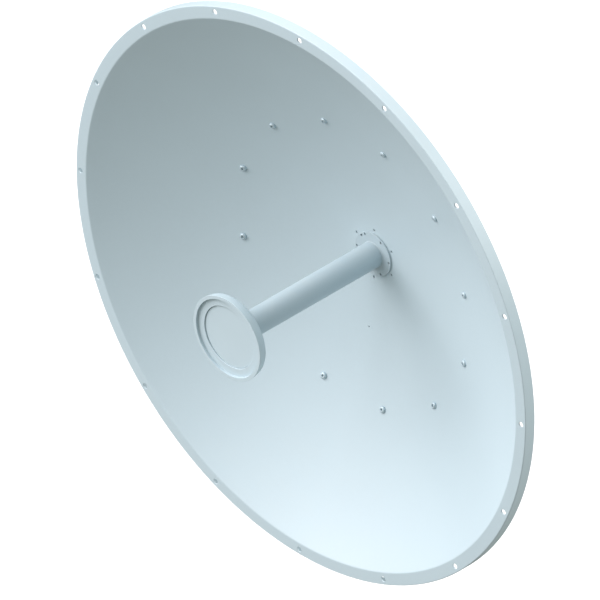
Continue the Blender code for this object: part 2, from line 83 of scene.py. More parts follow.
# Reflector
APERTURE_RADIUS = 502 * MM              # where the bowl meets the flat rim flange
DISH_DEPTH = 177.5 * MM                 # rim plane to the vertex of the paraboloid
FOUR_F = APERTURE_RADIUS ** 2 / DISH_DEPTH
SHEET = 2 * MM
SKIRT_DEPTH = 21.5 * MM
BOWL_BEND = 5 * MM                      # outside radius of the bend from the bowl to the flange
SKIRT_BEND = 1.8 * MM                   # and from the flange to the skirt
HUB_SEAT_RADIUS = 58 * MM
HUB_SEAT_BLEND = 160 * MM               # the flat seat runs into the bowl with this radius
HUB_BORE_RADIUS = 22 * MM
BOWL_STEP = 6.5 * MM                    # between the rings of its mesh
DISH_SEGMENTS = 288
RIM_HOLES = 16
RIM_HOLE_CIRCLE = 514.4 * MM
RIM_HOLE_RADIUS = 4.75 * MM
DRAIN_HOLE_CIRCLE = 142 * MM
DRAIN_HOLE_RADIUS = 1.3 * MM
HOLE_CHAMFER = 0.35 * MM
HOLE_SEGMENTS = 40

# Ring bolts: they stand square on the bowl
RING_BOLTS = 12
FIRST_RING_BOLT = math.radians(15)
RING_BOLT_CIRCLE = 267.5 * MM
RING_BOLT_HOLE = 3.3 * MM

# Feed tube and its flange
TUBE_RADIUS = 23 * MM
TUBE_BORE_RADIUS = 20 * MM
FLANGE_THICK = 2.8 * MM
TUBE_ROOT = 1.2 * MM                    # fillet where the tube meets its flange
TUBE_SEGMENTS = 96
LOCATING_HOLE_CIRCLE = 37 * MM
LOCATING_HOLE_ANGLE = math.radians(136)

# Small screws of the hub. They are put in from behind, and their ends lie down in their holes.
HUB_SCREWS = 6
FLANGE_SCREW_CIRCLE = 36.8 * MM
OUTER_SCREW_CIRCLE = 47.1 * MM
SCREW_HEAD = (3.2 * MM, 2.6 * MM)       # radius, height
SCREW_SHANK_RADIUS = 2 * MM
SCREW_HOLE_RADIUS = 2.3 * MM
SCREW_HOLE_CHAMFER = 0.15 * MM

# Feed head, counted back from its lip
HEAD_SEGMENTS = 160
LIP_BORE_RADIUS = 71.6 * MM
LEDGE_DEPTH = 4.9 * MM
POCKET_RADIUS = 57.1 * MM
DISC_DEPTH = 7.2 * MM
DISC_THICK = 3 * MM
SHELL_BACK = 17.8 * MM
SHELL_BACK_RADIUS = 73 * MM
SHELL_WAIST = [(77.4 * MM, 6.2 * MM), (76.2 * MM, 12.8 * MM), (74.9 * MM, 16.7 * MM)]
SHELL_BEND = 6 * MM                     # the side turns softly at these points
CONE_RIM = 2 * MM                       # thickness of the cone's edge
CONE_NECK_RADIUS = 26 * MM

# Camera and floor
PHOTO_SIZE = 600
PHOTO_RIM_CENTRE = (299.3, 296.7)       # pixel where the centre of the rim plane lies
PHOTO_SCALE = 1.652 * MM                # of the rim plane, for each pixel
AZIMUTH = math.radians(45)
ELEVATION = math.asin(1 / math.sqrt(3))
HALF_ANGLE = math.radians(0.62)         # the photograph has next to no perspective
SENSOR = 36.0                           # the lens goes with it, so any width gives the same picture
CLIP = (1.0, 400.0)                     # nearest and farthest thing that the camera sees
FLOOR_Z = -3.2                          # well below the dish
FLOOR_HALF = 150.0                      # half its side, past all that the camera sees


def even_angles(count, first=0.0):
    return [first + 2 * math.pi * step / count for step in range(count)]


def around(radius, angle, y):
    """A point on a circle about the Y axis, with the angle counted from +X towards +Z."""
    return Vector((radius * math.cos(angle), y, radius * math.sin(angle)))


def rounded(corners, arc_step=math.radians(15)):
    """An outline with its corners rounded. Each corner is (x, y, fillet), and a fillet of 0 stays sharp."""
    points = []
    for index, (x, y, fillet) in enumerate(corners):
        corner = Vector((x, y))
        if fillet == 0:
            points.append(corner)
            continue
        before = (Vector(corners[index - 1][:2]) - corner).normalized()
        after = (Vector(corners[(index + 1) % len(corners)][:2]) - corner).normalized()
        half = before.angle(after) / 2
        turn = math.pi - 2 * half
        if before.cross(after) > 0:
            turn = -turn
        centre = corner + (before + after).normalized() * (fillet / math.sin(half))
        arm = corner + before * (fillet / math.tan(half)) - centre
        steps = max(2, math.ceil(abs(turn) / arc_step))
        points += [centre + Matrix.Rotation(turn * step / steps, 2) @ arm for step in range(steps + 1)]
    return points


def lathe(outline, segments):
    """A closed solid turned round the Y axis.

    The outline's points are (radius, y), or functions of the angle that give one. A point on the axis is
    one vertex, and the last ring is joined to the first.
    """
    bm = bmesh.new()
    angles = even_angles(segments)
    rings = []
    for point in outline:
        spots = [point(angle) if callable(point) else point for angle in angles]
        if max(radius for radius, _ in spots) < TINY:
            rings.append([bm.verts.new((0, spots[0][1], 0))] * segments)
        else:
            rings.append([bm.verts.new(around(radius, angle, y))
                          for (radius, y), angle in zip(spots, angles)])
    for here, there in zip(rings, rings[1:] + rings[:1]):
        for step in range(segments):
            corners = dict.fromkeys((here[step - 1], here[step], there[step], there[step - 1]))
            if len(corners) > 2:
                bm.faces.new(corners)
    bmesh.ops.recalc_face_normals(bm, faces=bm.faces)
    return bm


def bar(outline, length, edge):
    """A bar along Z, centred on it, with a closed (x, y) outline as its section and rounded ends."""
    bm = bmesh.new()
    base = bm.faces.new([bm.verts.new((x, y, -length / 2)) for x, y in outline])
    grown = bmesh.ops.extrude_face_region(bm, geom=[base])["geom"]
    top = [item for item in grown if isinstance(item, bmesh.types.BMVert)]
    bmesh.ops.translate(bm, verts=top, vec=(0, 0, length))
    bmesh.ops.recalc_face_normals(bm, faces=bm.faces)
    rims = [e for e in bm.edges if abs(e.verts[0].co.z - e.verts[1].co.z) < TINY]
    bmesh.ops.bevel(bm, geom=rims, offset=edge, segments=2, profile=0.5, affect="EDGES", clamp_overlap=True)
    return bm


def piece(name, bm, slot, stands_for=(), place=STRAIGHT):
    """Makes a finished piece that rides on the fixed body, and hides the CAD nodes that it stands for."""
    mesh = bpy.data.meshes.new(name)
    bm.to_mesh(mesh)
    bm.free()
    mesh.shade_smooth()
    mesh.set_sharp_from_angle(angle=SHARP)
    mesh.materials.append(MATERIALS[slot])
    return dressed(linked(name, mesh, place), stands_for)


def linked(name, data, place):
    obj = bpy.data.objects.new(name, data)
    bpy.context.scene.collection.objects.link(obj)
    obj.matrix_world = place
    return obj


def dressed(obj, stands_for):
    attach(obj, BODY)
    if stands_for:
        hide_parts(*stands_for)
    return obj


def keep_flats_flat(obj):
    """Large faces set the shading, so that flats beside small roundings stay flat."""
    normals = obj.modifiers.new("weighted_normals", "WEIGHTED_NORMAL")
    normals.mode = "FACE_AREA"
    normals.weight = 90
    normals.keep_sharp = True


def punch(obj, cutters):
    """Cuts the given closed bmeshes out of a piece, and keeps the result as its mesh."""
    bm = bmesh.new()
    for cutter, place in cutters:
        mesh = bpy.data.meshes.new("cutter")
        cutter.to_mesh(mesh)
        mesh.transform(place)
        bm.from_mesh(mesh)
        bpy.data.meshes.remove(mesh)
    mesh = bpy.data.meshes.new("cutters")
    bm.to_mesh(mesh)
    bm.free()
    tool = linked("cutters", mesh, obj.matrix_world)
    boolean = obj.modifiers.new("holes", "BOOLEAN")
    boolean.operation = "DIFFERENCE"
    boolean.solver = "EXACT"
    boolean.object = tool
    graph = bpy.context.evaluated_depsgraph_get()
    cut = bpy.data.meshes.new_from_object(obj.evaluated_get(graph))
    obj.modifiers.remove(boolean)
    old = obj.data
    obj.data = cut
    cut.name = old.name
    bpy.data.meshes.remove(old)
    bpy.data.objects.remove(tool)
    cut.set_sharp_from_angle(angle=SHARP)


def hole(radius, reach, chamfer=HOLE_CHAMFER):
    """A cutter along Y for a round hole, flared at its front face, which lies at zero."""
    flare = radius + chamfer + reach
    return lathe([(0, -reach), (flare, -reach), (radius, chamfer), (radius, reach), (0, reach)],
                 HOLE_SEGMENTS)


def bowl_y(radius):
    return RIM_Y + DISH_DEPTH - radius ** 2 / FOUR_F


def bowl_slope(radius):
    return math.atan(2 * radius / FOUR_F)


def on_bowl(radius, angle, offset=0.0):
    """Stands a piece square on the bowl, an offset behind its front surface."""
    slope = bowl_slope(radius)
    spot = around(radius + offset * math.sin(slope), angle, bowl_y(radius) + offset * math.cos(slope))
    return Matrix.Translation(spot) @ Matrix.Rotation(-angle, 4, "Y") @ Matrix.Rotation(-slope, 4, "Z")


def ring_bolt_places(offset=0.0):
    return [on_bowl(RING_BOLT_CIRCLE, angle, offset) for angle in even_angles(RING_BOLTS, FIRST_RING_BOLT)]


def circle_places(radius, angles, y):
    return [Matrix.Translation(around(radius, angle, y)) for angle in angles]


def flange_screw_places(y):
    return circle_places(FLANGE_SCREW_CIRCLE, even_angles(HUB_SCREWS), y)


def outer_screw_places(y):
    return circle_places(OUTER_SCREW_CIRCLE, even_angles(HUB_SCREWS, math.pi / HUB_SCREWS), y)


HUB_SEAT_Y = bowl_y(HUB_SEAT_RADIUS)


# Materials


def add(tree, kind, inputs=None, **settings):
    """Adds a shader node. Its inputs are values, or other nodes' output sockets."""
    node = tree.nodes.new("ShaderNode" + kind)
    for name, value in settings.items():
        setattr(node, name, value)
    for socket, value in (inputs or {}).items():
        if isinstance(value, bpy.types.NodeSocket):
            tree.links.new(value, node.inputs[socket])
        else:
            node.inputs[socket].default_value = value
    return node


def math_node(tree, operation, *values, clamp=False):
    node = add(tree, "Math", dict(enumerate(values)), operation=operation)
    node.use_clamp = clamp
    return node.outputs[0]


def noise(tree, where, scale, detail, roughness):
    return add(tree, "TexNoise", {"Vector": where, "Scale": scale, "Detail": detail,
                                  "Roughness": roughness}).outputs["Fac"]


def ramp(tree, value, low, high, out_low=0.0, out_high=1.0):
    """Maps low..high to out_low..out_high, and stops at both ends."""
    return add(tree, "MapRange", {"Value": value, "From Min": low, "From Max": high,
                                  "To Min": out_low, "To Max": out_high}).outputs[0]


def mix_colour(tree, share, first, second):
    node = add(tree, "Mix", data_type="RGBA")
    for socket, value in ((node.inputs[0], share), (node.inputs[6], first), (node.inputs[7], second)):
        if isinstance(value, bpy.types.NodeSocket):
            tree.links.new(value, socket)
        elif socket.name == "Factor":
            socket.default_value = value
        else:
            socket.default_value = (*value, 1.0)
    return node.outputs[2]


def new_material(name):
    material = bpy.data.materials.new(name)
    material.use_nodes = True
    return material, material.node_tree, material.node_tree.nodes["Principled BSDF"]


def scaled(colour, factor):
    return tuple(channel * factor for channel in colour)


def worn_edges(tree, where, reach, patchiness):
    """0 on flats and 1 in scattered spots on outer edges."""
    edge_normal = add(tree, "Bevel", {"Radius": reach}, samples=4).outputs[0]
    normal = add(tree, "NewGeometry").outputs["Normal"]
    likeness = add(tree, "VectorMath", {0: edge_normal, 1: normal}, operation="DOT_PRODUCT").outputs["Value"]
    edge = ramp(tree, likeness, 0.98, 0.80)
    spots = noise(tree, where, scale=90.0, detail=4.0, roughness=0.6)
    patches = ramp(tree, spots, patchiness, patchiness + 0.12)
    return math_node(tree, "MULTIPLY", edge, patches, clamp=True)


def shade_in_corners(tree, reach):
    """0 in the open and 1 deep in corners and hollows, from ambient occlusion: where painted shade goes."""
    open_share = add(tree, "AmbientOcclusion", {"Distance": reach}, samples=6).outputs["AO"]
    return ramp(tree, open_share, 0.85, 0.25)


def painted(name, colour, roughness, peel_scale, peel_height, wear, corner_shade):
    """Powder coat or paint: orange peel, a faint mottle, thin dust on what faces up, painted shade in the
    corners and a little wear on the edges."""
    material, tree, shader = new_material(name)
    where = add(tree, "TexCoord").outputs["Object"]
    normal = add(tree, "NewGeometry").outputs["Normal"]
    cloud = noise(tree, where, scale=5.0, detail=4.0, roughness=0.55)
    mottle = noise(tree, where, scale=160.0, detail=3.0, roughness=0.6)
    tone = mix_colour(tree, ramp(tree, cloud, 0.3, 0.7), scaled(colour, 0.985), scaled(colour, 1.012))
    tone = mix_colour(tree, ramp(tree, mottle, 0.35, 0.7, 0.0, 0.5), tone, scaled(colour, 1.02))
    upward = add(tree, "SeparateXYZ", {0: normal}).outputs["Z"]
    drifts = noise(tree, where, scale=28.0, detail=5.0, roughness=0.65)
    settled = math_node(tree, "MULTIPLY", ramp(tree, upward, 0.35, 1.0, 0.0, 0.22),
                        ramp(tree, drifts, 0.35, 0.75))
    tone = mix_colour(tree, settled, tone, DUST)
    # Painted shade: darker in corners and hollows, patchy in strength
    corner = math_node(tree, "MULTIPLY", shade_in_corners(tree, reach=9 * MM),
                       ramp(tree, cloud, 0.2, 0.8, corner_shade * 0.6, corner_shade))
    tone = mix_colour(tree, corner, tone, PAINTED_SHADE)
    worn = math_node(tree, "MULTIPLY", worn_edges(tree, where, reach=1.2 * MM, patchiness=0.52), wear)
    tone = mix_colour(tree, worn, tone, PRIMER)
    tree.links.new(tone, shader.inputs["Base Color"])
    gloss = ramp(tree, mottle, 0.3, 0.7, roughness - 0.04, roughness + 0.05)
    gloss = math_node(tree, "ADD", gloss, math_node(tree, "MULTIPLY", settled, 0.5), clamp=True)
    tree.links.new(gloss, shader.inputs["Roughness"])
    waves = noise(tree, where, scale=peel_scale, detail=1.5, roughness=0.45)
    peel = add(tree, "Bump", {"Strength": 1.0, "Distance": peel_height, "Height": waves})
    tree.links.new(peel.outputs[0], shader.inputs["Normal"])
    return material


def moulded(name, colour):
    """Moulded plastic: a fine matt grain, faint flow marks and painted shade in the corners."""
    material, tree, shader = new_material(name)
    where = add(tree, "TexCoord").outputs["Object"]
    flow = noise(tree, where, scale=14.0, detail=3.0, roughness=0.5)
    tone = mix_colour(tree, ramp(tree, flow, 0.3, 0.7), scaled(colour, 0.985), scaled(colour, 1.01))
    # Painted shade: darker in corners and hollows
    corner = math_node(tree, "MULTIPLY", shade_in_corners(tree, reach=5 * MM), ramp(tree, flow, 0.2, 0.8, 0.12, 0.25))
    tone = mix_colour(tree, corner, tone, PAINTED_SHADE)
    tree.links.new(tone, shader.inputs["Base Color"])
    grain = add(tree, "TexVoronoi", {"Vector": where, "Scale": 1500.0}).outputs["Distance"]
    tree.links.new(ramp(tree, grain, 0.0, 0.8, 0.44, 0.54), shader.inputs["Roughness"])
    bump = add(tree, "Bump", {"Strength": 0.6, "Distance": 0.02 * MM, "Height": grain})
    tree.links.new(bump.outputs[0], shader.inputs["Normal"])
    return material


def coated_steel(name, colour, metallic, roughness):
    """Coated fasteners and plated connectors: a fine sparkle, turning marks and bright worn edges."""
    material, tree, shader = new_material(name)
    where = add(tree, "TexCoord").outputs["Object"]
    seed = math_node(tree, "MULTIPLY", add(tree, "ObjectInfo").outputs["Random"], 20.0)
    spot = add(tree, "TexNoise", {"Vector": where, "W": seed, "Scale": 700.0, "Detail": 3.0},
               noise_dimensions="4D").outputs["Fac"]
    tone = mix_colour(tree, ramp(tree, spot, 0.3, 0.7), scaled(colour, 0.93), scaled(colour, 1.05))
    # Painted shade: darker in sockets, corners and hollows
    tone = mix_colour(tree, math_node(tree, "MULTIPLY", shade_in_corners(tree, reach=2 * MM), 0.35), tone, PAINTED_SHADE)
    worn = math_node(tree, "MULTIPLY", worn_edges(tree, where, reach=0.4 * MM, patchiness=0.45), 0.5)
    tone = mix_colour(tree, worn, tone, scaled(colour, 1.2))
    tree.links.new(tone, shader.inputs["Base Color"])
    shader.inputs["Metallic"].default_value = metallic
    tree.links.new(ramp(tree, spot, 0.3, 0.7, roughness - 0.05, roughness + 0.08), shader.inputs["Roughness"])
    rings = add(tree, "TexWave", {"Vector": where, "Scale": 900.0, "Distortion": 0.5},
                wave_type="RINGS", rings_direction="Y").outputs["Fac"]
    bump = add(tree, "Bump", {"Strength": 0.3, "Distance": 0.01 * MM, "Height": rings})
    tree.links.new(bump.outputs[0], shader.inputs["Normal"])
    return material


def floor_material():
    material, tree, shader = new_material("studio_floor")
    where = add(tree, "TexCoord").outputs["Object"]
    cloud = noise(tree, where, scale=0.8, detail=3.0, roughness=0.5)
    tone = mix_colour(tree, cloud, (0.90, 0.90, 0.90), (0.92, 0.92, 0.92))
    tree.links.new(tone, shader.inputs["Base Color"])
    shader.inputs["Roughness"].default_value = 0.9
    shader.inputs["Specular IOR Level"].default_value = 0.1
    return material


PALE = (0.513, 0.632, 0.694)            # the blue-grey of the whole antenna
DUST = (0.60, 0.62, 0.60)
# Painted shade: the dark colour mixed into corners and hollows
PAINTED_SHADE = (0.20, 0.21, 0.20)
PRIMER = (0.70, 0.74, 0.75)             # shows where the paint is worn
NICKEL = (0.62, 0.60, 0.54)

# The last argument of painted sets how strong the painted shade in corners is
MATERIALS = {
    "dish_paint": painted("dish_powder_coat", PALE, roughness=0.42, peel_scale=420.0,
                          peel_height=0.035 * MM, wear=0.35, corner_shade=0.25),
    "frame_paint": painted("frame_powder_coat", scaled(PALE, 0.97), roughness=0.46, peel_scale=330.0,
                           peel_height=0.05 * MM, wear=0.6, corner_shade=0.4),
    "feed_metal": painted("feed_enamel", scaled(PALE, 0.91), roughness=0.36, peel_scale=700.0,
                          peel_height=0.015 * MM, wear=0.4, corner_shade=0.3),
    "feed_plastic": moulded("feed_plastic", scaled(PALE, 1.02)),
    "fastener": coated_steel("coated_fastener", scaled(PALE, 0.98), metallic=0.35, roughness=0.42),
    "connector": coated_steel("nickel_connector", NICKEL, metallic=1.0, roughness=0.28),
}


# Reflector


def bowl_radii():
    """Even steps up the bowl, from past the seat's blend to the rim bend."""
    first = HUB_SEAT_RADIUS + 3 * BOWL_STEP
    last = APERTURE_RADIUS - BOWL_STEP / 2
    steps = round((last - first) / BOWL_STEP)
    return [first + (last - first) * step / steps for step in range(steps + 1)]


def behind_bowl(radius):
    slope = bowl_slope(radius)
    return radius + SHEET * math.sin(slope), bowl_y(radius) + SHEET * math.cos(slope), 0


def reflector_outline():
    radii = bowl_radii()
    front = [(HUB_BORE_RADIUS, HUB_SEAT_Y, SHEET_EDGE), (HUB_SEAT_RADIUS, HUB_SEAT_Y, HUB_SEAT_BLEND)]
    front += [(radius, bowl_y(radius), 0) for radius in radii]
    inside = APERTURE_RADIUS + SHEET * math.tan(bowl_slope(APERTURE_RADIUS) / 2)
    rim = [
        (APERTURE_RADIUS, RIM_Y, BOWL_BEND), (RIM_RADIUS, RIM_Y, SKIRT_BEND),
        (RIM_RADIUS, RIM_Y + SKIRT_DEPTH, SHEET_EDGE), (RIM_RADIUS - SHEET, RIM_Y + SKIRT_DEPTH, SHEET_EDGE),
        (RIM_RADIUS - SHEET, RIM_Y + SHEET, SHEET_EDGE), (inside, RIM_Y + SHEET, BOWL_BEND - SHEET),
    ]
    back = [behind_bowl(radius) for radius in reversed(radii)]
    back += [(HUB_SEAT_RADIUS, HUB_SEAT_Y + SHEET, HUB_SEAT_BLEND),
             (HUB_BORE_RADIUS, HUB_SEAT_Y + SHEET, SHEET_EDGE)]
    return rounded(front + rim + back)


def make_reflector():
    reflector = piece("fine_reflector", lathe(reflector_outline(), DISH_SEGMENTS), "dish_paint",
                      ["reflector"])
    reach = 2 * SHEET
    rim_hole = hole(RIM_HOLE_RADIUS, reach)
    cutters = [(rim_hole, place) for place in circle_places(RIM_HOLE_CIRCLE, even_angles(RIM_HOLES), RIM_Y)]
    bolt_hole = hole(RING_BOLT_HOLE, reach)
    cutters += [(bolt_hole, place) for place in ring_bolt_places()]
    small_hole = hole(SCREW_HOLE_RADIUS, reach, SCREW_HOLE_CHAMFER)
    cutters += [(small_hole, place)
                for place in flange_screw_places(HUB_SEAT_Y) + outer_screw_places(HUB_SEAT_Y)]
    cutters.append((hole(DRAIN_HOLE_RADIUS, reach), on_bowl(DRAIN_HOLE_CIRCLE, -math.pi / 2)))
    punch(reflector, cutters)
    keep_flats_flat(reflector)


# Fasteners

BUTTON_HEAD = (6 * MM, 4 * MM)          # radius, height
BUTTON_EDGE = 1.1 * MM                  # straight side of the head
BUTTON_FLAT = 3.1 * MM                  # radius of the flat round the socket
BUTTON_SOCKET = (4.2 * MM, 2.4 * MM)    # across its flats, depth
SHANK_RADIUS = 3 * MM
NUT_ACROSS = 10 * MM
NUT_HEIGHT = 5 * MM
GRIP = 6.9 * MM                         # bowl sheet, ring flange and their gaps
TAIL = 2 * MM                           # of thread behind a nut
PITCH = MM
HUB_SOCKET = (3 * MM, 1.4 * MM)         # across its flats, depth
SMALL_PITCH = 0.7 * MM
SMALL_THREAD = 4 * MM                   # length of thread at the end of a small screw
THREAD_DEPTH = 0.55                     # for each unit of pitch
THREAD_RIDGE = (0.05, 0.45, 0.6)        # where it starts to rise, is full and starts to fall, in one turn
HEX_FACE = 0.47                         # radius of a nut's face, for each unit across its flats
HEX_CHAMFER = math.radians(30)
SOCKET_DRILL = (0.9, 0.25)              # width and depth of its drilled point, for each unit across its flats
COUNTERSINK = 0.12 * MM                 # of a socket
DOME_STEPS = 6
FASTENER_SEGMENTS = 48


def hexagon(across, angle):
    """The radius of a hexagon at an angle, with flats at 0, 60 and so on."""
    sixth = math.pi / 3
    return across / 2 / math.cos((angle + sixth / 2) % sixth - sixth / 2)


def hex_ring(across, y, chamfer_from=None, back=False):
    """A hexagonal ring. With chamfer_from, a cone turns its corners down from that radius."""
    def point(angle):
        radius = hexagon(across, angle)
        if chamfer_from is None:
            return radius, y
        drop = (radius - chamfer_from) * math.tan(HEX_CHAMFER)
        return radius, y - drop if back else y + drop
    return point


def socket_rings(across, depth, top):
    """A hexagon socket in a face at top, from its pointed floor up to a small countersink."""
    corner = across / math.sqrt(3)
    width, point = SOCKET_DRILL
    return [(0, top + depth + point * across), (width * across / 2, top + depth),
            hex_ring(across, top + depth), hex_ring(across, top + COUNTERSINK), (corner + COUNTERSINK, top)]


def hex_prism(across, start, end, inner):
    """A chamfered nut or head between two faces, from the shank at its front to the shank at its back."""
    face = HEX_FACE * across
    return [(inner, start), (face, start), hex_ring(across, start, face),
            hex_ring(across, end, face, back=True), (face, end), (inner, end)]


def thread(radius, start, end, pitch):
    """Ridges from start to end, and the flat tip of the screw."""
    count = max(1, round(abs(end - start) / pitch))
    step = (end - start) / count
    root = radius - THREAD_DEPTH * pitch
    rise, crest, fall = THREAD_RIDGE
    points = []
    for turn in range(count):
        foot = start + step * turn
        points += [(root, foot + rise * step), (radius, foot + crest * step), (radius, foot + fall * step)]
    return points + [(root, end), (0, end)]


def dome(flat, radius, edge, height):
    """A rounded head from the rim of its flat top down to its seat."""
    arc = [math.pi / 2 * (1 - step / DOME_STEPS) for step in range(DOME_STEPS + 1)]
    return [(flat + (radius - flat) * math.cos(turn), -edge - (height - edge) * math.sin(turn))
            for turn in arc] + [(radius, 0)]


def ring_bolt_outline():
    radius, height = BUTTON_HEAD
    nut_end = GRIP + NUT_HEIGHT
    return (socket_rings(*BUTTON_SOCKET, -height)
            + dome(BUTTON_FLAT, radius, BUTTON_EDGE, height)
            + [(SHANK_RADIUS, 0)]
            + hex_prism(NUT_ACROSS, GRIP, nut_end, SHANK_RADIUS)
            + thread(SHANK_RADIUS, nut_end, nut_end + TAIL, PITCH))


def copies(nodes, outline, slot, places):
    """One fastener for each node, all with the same mesh."""
    first = piece(f"fine_{nodes[0]}", lathe(outline, FASTENER_SEGMENTS), slot, nodes[:1], places[0])
    keep_flats_flat(first)
    for node, place in zip(nodes[1:], places[1:]):
        keep_flats_flat(dressed(linked(f"fine_{node}", first.data, place), [node]))


def numbered(stem, count, digits=1):
    return [f"{stem}_{index:0{digits}d}" for index in range(1, count + 1)]


def make_ring_bolts():
    copies(numbered("ring_bolt", RING_BOLTS, 2), ring_bolt_outline(), "fastener", ring_bolt_places())


def small_screw(head, socket, shank, length):
    """A cylindrical head with a hexagon socket, and a shank that is threaded at its end."""
    radius, height = head
    return (socket_rings(*socket, -height)
            + [(radius - FINE_EDGE, -height), (radius, FINE_EDGE - height), (radius, 0), (shank, 0)]
            + thread(shank, length - SMALL_THREAD, length, SMALL_PITCH))


def turned_round(places):
    """The same places, with the fasteners' heads to the back."""
    return [place @ Matrix.Rotation(math.pi, 4, "Z") for place in places]


def make_hub_screws():
    for stem, places in (("flange_screw", flange_screw_places), ("hub_screw", outer_screw_places)):
        end, back = (corner.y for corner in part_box(f"{stem}_1"))
        seat = back - SCREW_HEAD[1]
        outline = small_screw(SCREW_HEAD, HUB_SOCKET, SCREW_SHANK_RADIUS, seat - end)
        copies(numbered(stem, HUB_SCREWS), outline, "fastener", turned_round(places(seat)))


# Feed tube and head


def make_feed_tube():
    front = FLANGE_BACK_Y - FLANGE_THICK
    outline = rounded([
        (TUBE_BORE_RADIUS, TUBE_FRONT_Y, SHEET_EDGE), (TUBE_RADIUS, TUBE_FRONT_Y, SHEET_EDGE),
        (TUBE_RADIUS, front, TUBE_ROOT), (FLANGE_RADIUS, front, SOFT_EDGE),
        (FLANGE_RADIUS, HUB_SEAT_Y, 0), (TUBE_BORE_RADIUS, HUB_SEAT_Y, 0),
    ])
    tube = piece("fine_feed_tube", lathe(outline, TUBE_SEGMENTS), "feed_metal", ["feed_tube"])
    small_hole = hole(SCREW_HOLE_RADIUS, 2 * FLANGE_THICK, SCREW_HOLE_CHAMFER)
    places = flange_screw_places(front) + circle_places(LOCATING_HOLE_CIRCLE, [LOCATING_HOLE_ANGLE], front)
    punch(tube, [(small_hole, place) for place in places])
    keep_flats_flat(tube)


def make_feed_head():
    floor = DISC_DEPTH + DISC_THICK + FIT
    shell = [
        (0, floor, 0), (POCKET_RADIUS, floor, 0), (POCKET_RADIUS, LEDGE_DEPTH, ROUND_EDGE),
        (LIP_BORE_RADIUS, LEDGE_DEPTH, FINE_EDGE), (LIP_BORE_RADIUS, 0, FINE_EDGE),
        (LIP_RADIUS, 0, FINE_EDGE),
        *[(radius, depth, SHELL_BEND) for radius, depth in SHELL_WAIST],
        (SHELL_BACK_RADIUS, SHELL_BACK, PLATE_EDGE), (0, SHELL_BACK, 0),
    ]
    disc_radius = POCKET_RADIUS - FIT
    disc_back = DISC_DEPTH + DISC_THICK
    disc = [(0, DISC_DEPTH, 0), (disc_radius, DISC_DEPTH, SOFT_EDGE), (disc_radius, disc_back, SOFT_EDGE),
            (0, disc_back, 0)]
    cone_front = SHELL_BACK + FIT
    cone_edge = cone_front + CONE_RIM
    cone_back = CONE_BACK_Y - HEAD_FRONT_Y
    pocket = TUBE_RADIUS + FIT
    pocket_floor = TUBE_FRONT_Y - HEAD_FRONT_Y - FIT
    cone = [
        (0, cone_front, 0), (CONE_RADIUS, cone_front, SOFT_EDGE), (CONE_RADIUS, cone_edge, MM),
        (CONE_NECK_RADIUS, cone_back, MM), (pocket, cone_back, SOFT_EDGE), (pocket, pocket_floor, 0),
        (0, pocket_floor, 0),
    ]
    place = Matrix.Translation((0, HEAD_FRONT_Y, 0))
    for node, corners in (("feed_head_shell", shell), ("feed_head_disc", disc), ("feed_head_cone", cone)):
        made = piece(f"fine_{node}", lathe(rounded(corners), HEAD_SEGMENTS), "feed_plastic", [node], place)
        keep_flats_flat(made)


# Back of the dish

RING_SHEET = 4 * MM
RING_WEB_RADIUS = 253 * MM              # outside of the tapered web, where it starts
RING_BACK_RADIUS = 190 * MM             # and where it ends
RING_INNER_RADIUS = 152 * MM
RING_BEND = 6 * MM                      # outside radius of its bends
BEAM_OFFSET = 85 * MM                   # from the middle to the beams' bolts
BEAM_SHEET = 3 * MM
BEAM_BEND = 1.5 * MM                    # inside radius of their bends
BEAM_BOLT_HEIGHT = 148 * MM
BEAM_BOLT_HOLE = 4.3 * MM


def crossing(first, second):
    """Where two lines meet. Each is a pair of (radius, y) points."""
    along = first[1] - first[0]
    other = second[1] - second[0]
    return first[0] + along * (other.cross(second[0] - first[0]) / other.cross(along))


def at_radius(line, radius):
    return crossing(line, (Vector((radius, 0)), Vector((radius, 1))))


def beam_bolt_places(y):
    return [Matrix.Translation((x, y, z)) for x in (-BEAM_OFFSET, BEAM_OFFSET)
            for z in (-BEAM_BOLT_HEIGHT, BEAM_BOLT_HEIGHT)]


def ring_outline():
    """The ring's section: a flange on the back of the bowl, a tapered web and a flat rear flange."""
    slope = bowl_slope(RING_BOLT_CIRCLE)
    away = Vector((math.sin(slope), math.cos(slope)))
    across = Vector((away.y, -away.x))
    foot = Vector((RING_BOLT_CIRCLE, bowl_y(RING_BOLT_CIRCLE))) + away * (SHEET + FIT)
    seat = (foot, foot + across)
    behind_seat = [point + away * RING_SHEET for point in seat]
    outer_front = at_radius(seat, RING_SEAT_RADIUS) - away.x * RING_SHEET * across
    web = [at_radius(behind_seat, RING_WEB_RADIUS), Vector((RING_BACK_RADIUS, RING_BACK_Y))]
    inward = (web[1] - web[0]).orthogonal().normalized()
    web_inside = [point + inward * RING_SHEET for point in web]
    rear_front = RING_BACK_Y - RING_SHEET
    rear_line = (Vector((RING_INNER_RADIUS, rear_front)), Vector((RING_BACK_RADIUS, rear_front)))
    inner_bend = RING_BEND - RING_SHEET
    return rounded([
        (*crossing(web_inside, seat), RING_BEND), (*outer_front, PLATE_EDGE),
        (*(outer_front + away * RING_SHEET), PLATE_EDGE), (*web[0], inner_bend), (*web[1], RING_BEND),
        (RING_INNER_RADIUS, RING_BACK_Y, PLATE_EDGE), (*rear_line[0], PLATE_EDGE),
        (*crossing(web_inside, rear_line), inner_bend),
    ])


def make_back_ring():
    ring = piece("fine_back_ring", lathe(ring_outline(), DISH_SEGMENTS), "frame_paint", ["back_ring"])
    reach = 4 * RING_SHEET
    bolt_hole = hole(RING_BOLT_HOLE, reach, 0)
    beam_hole = hole(BEAM_BOLT_HOLE, reach, 0)
    punch(ring, [(bolt_hole, place) for place in ring_bolt_places(SHEET)]
          + [(beam_hole, place) for place in beam_bolt_places(RING_BACK_Y)])
    keep_flats_flat(ring)


